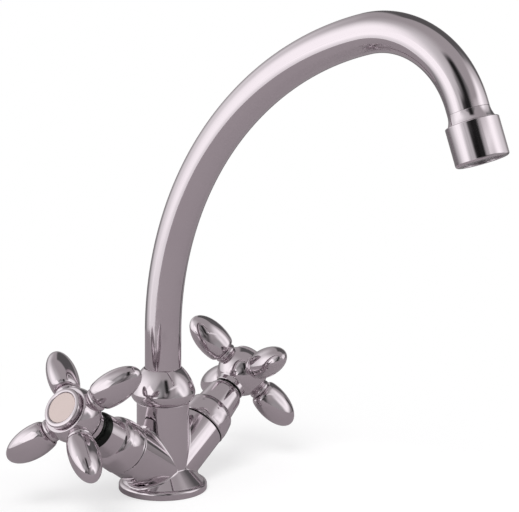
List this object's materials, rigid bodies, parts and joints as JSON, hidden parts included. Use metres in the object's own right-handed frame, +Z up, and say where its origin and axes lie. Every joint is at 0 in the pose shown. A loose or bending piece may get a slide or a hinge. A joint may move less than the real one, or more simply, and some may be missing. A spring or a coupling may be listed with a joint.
{
  "type": "kitchen faucet",
  "caption": "Chromed deck faucet: a tall swivelling spout with an aerator on a short column, and slanting valve arms that each end in a cross handle with rounded lobes.",
  "frame": {"origin": "centre of the round underside, on the deck, on the spout's swivel axis", "axes": "+Z up along the column, the spout points to -Y, the hot valve arm leans out to -X and the cold one to +X"},
  "size_m": [0.1828, 0.2499, 0.2635],
  "materials": {
    "chrome": "polished chrome plate over brass",
    "brass": "turned, bare",
    "steel": "stainless, bare",
    "rubber": "matt black",
    "ceramic": "lapped white ceramic, opaque",
    "glide_plastic": "natural",
    "aerator_plastic": "moulded",
    "index_face": "pale beige, plain"
  },
  "bodies": {
    "root": {"body_casting": "chrome", "base_ring": "chrome", "base_gasket": "rubber", "spout_collar": "chrome", "glide_rings": "glide_plastic", "hot_bonnet": "chrome", "hot_cartridge_body": "brass", "hot_cartridge_seal": "rubber", "hot_fixed_disc": "ceramic", "hot_seat_seal": "rubber", "cold_bonnet": "chrome", "cold_cartridge_body": "brass", "cold_cartridge_seal": "rubber", "cold_fixed_disc": "ceramic", "cold_seat_seal": "rubber"},
    "spout": {"spout_tube": "chrome", "spout_spigot": "brass", "spigot_o_rings": "rubber", "split_ring": "brass", "outlet_fitting": "chrome", "aerator_housing": "chrome", "aerator_washer": "rubber", "aerator_insert": "aerator_plastic", "aerator_screen": "steel"},
    "hot_handle": {"hot_spindle": "brass", "hot_moving_disc": "ceramic", "hot_spindle_o_rings": "rubber", "hot_spindle_clip": "steel", "hot_handle_hub": "chrome", "hot_handle_lobe_1": "chrome", "hot_handle_lobe_2": "chrome", "hot_handle_lobe_3": "chrome", "hot_handle_lobe_4": "chrome", "hot_handle_screw": "steel", "hot_index_cap": "chrome", "hot_index_disc": "index_face"},
    "cold_handle": {"cold_spindle": "brass", "cold_moving_disc": "ceramic", "cold_spindle_o_rings": "rubber", "cold_spindle_clip": "steel", "cold_handle_hub": "chrome", "cold_handle_lobe_1": "chrome", "cold_handle_lobe_2": "chrome", "cold_handle_lobe_3": "chrome", "cold_handle_lobe_4": "chrome", "cold_handle_screw": "steel", "cold_index_cap": "chrome", "cold_index_disc": "index_face"}
  },
  "joints": [
    {"name": "spout_swivel", "type": "hinge", "parent": "root", "child": "spout", "pos_m": [0, 0, 0.05], "axis": [0, 0, 1], "continuous": true},
    {"name": "hot_handle_turn", "type": "hinge", "parent": "root", "child": "hot_handle", "pos_m": [0, 0, 0.00815], "axis": [-0.8241, 0, 0.5664], "range_deg": [0, 90]},
    {"name": "cold_handle_turn", "type": "hinge", "parent": "root", "child": "cold_handle", "pos_m": [0, 0, 0.00815], "axis": [0.8241, 0, 0.5664], "range_deg": [-90, 0]}
  ]
}
